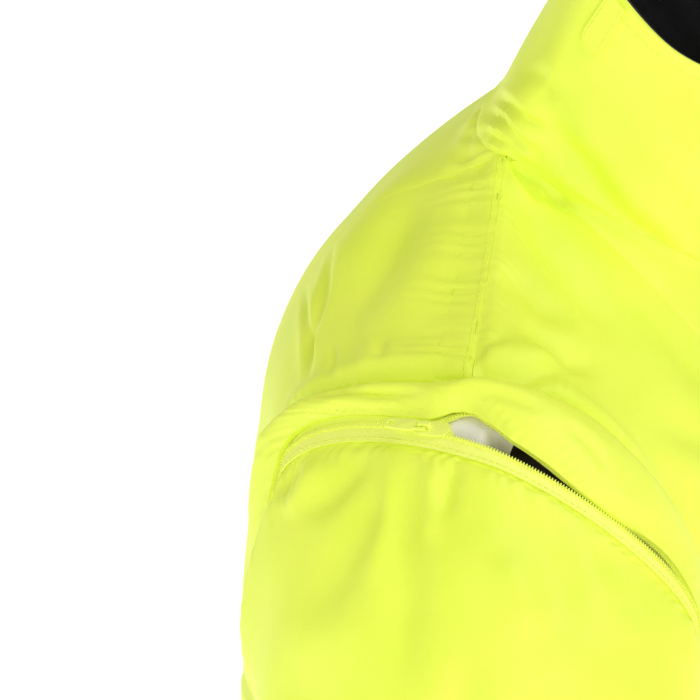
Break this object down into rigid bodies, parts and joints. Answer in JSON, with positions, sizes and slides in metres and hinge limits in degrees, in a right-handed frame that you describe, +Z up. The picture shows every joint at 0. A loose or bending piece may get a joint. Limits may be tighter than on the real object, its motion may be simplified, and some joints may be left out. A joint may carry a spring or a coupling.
{
  "type": "reflective winter jacket",
  "caption": "Hollow worn jacket in high-visibility yellow with reflective bands, a stand collar and sleeves that zip off at the armholes.",
  "frame": {"origin": "middle of the neck, level with the top of the shoulder seams, where the wearer holds it", "axes": "+Z up, front towards -Y, the wearer's right towards -X"},
  "size_m": [0.836, 0.334, 0.906],
  "materials": {
    "shell_yellow": "smooth woven polyester with a soft sheen",
    "zip_yellow": "ribbed zip tape with coil teeth",
    "slider_yellow": "smooth enamel",
    "lining_black": "matt knit",
    "lining_pale": "matt woven lining",
    "reflective_silver": "satin silver tape"
  },
  "bodies": {
    "jacket": {"armhole_band_left": "shell_yellow", "armhole_band_right": "shell_yellow", "armhole_lining_right": "lining_pale", "back": "shell_yellow", "back_hoop_1": "reflective_silver", "back_hoop_2": "reflective_silver", "body_zip_tape_left": "zip_yellow", "body_zip_tape_right": "zip_yellow", "collar": "shell_yellow", "collar_lining": "lining_black", "collar_tab": "shell_yellow", "front_hoop_left_1": "reflective_silver", "front_hoop_left_2": "reflective_silver", "front_hoop_right_1": "reflective_silver", "front_hoop_right_2": "reflective_silver", "front_left": "shell_yellow", "front_right": "shell_yellow", "front_zip_tape_left": "zip_yellow", "front_zip_tape_right": "zip_yellow", "shoulder_strip_left": "shell_yellow", "shoulder_strip_right": "shell_yellow", "sleeve_hoop_left_1": "reflective_silver", "sleeve_hoop_left_2": "reflective_silver", "sleeve_hoop_right_1": "reflective_silver", "sleeve_hoop_right_2": "reflective_silver", "sleeve_left": "shell_yellow", "sleeve_right": "shell_yellow", "sleeve_zip_tape_left": "zip_yellow", "sleeve_zip_tape_right": "zip_yellow", "slider_front": "slider_yellow", "slider_left": "slider_yellow", "slider_right": "slider_yellow"},
    "tab_right": {"pull_tab_right": "slider_yellow"},
    "tab_left": {"pull_tab_left": "slider_yellow"},
    "tab_front": {"pull_tab_front": "slider_yellow"}
  },
  "joints": [
    {"name": "pull_tab_right_hinge", "type": "hinge", "parent": "jacket", "child": "tab_right", "pos_m": [-0.2705, -0.00852, -0.06283], "axis": [0.8798, 0.0054, 0.4754], "range_deg": [0, 175]},
    {"name": "pull_tab_left_hinge", "type": "hinge", "parent": "jacket", "child": "tab_left", "pos_m": [0.24648, -0.12248, -0.19002], "axis": [0.8677, -0.4685, -0.166], "range_deg": [0, 175]},
    {"name": "pull_tab_front_hinge", "type": "hinge", "parent": "jacket", "child": "tab_front", "pos_m": [0, -0.10199, 0.01091], "axis": [-1, 0, 0], "range_deg": [0, 175]}
  ]
}
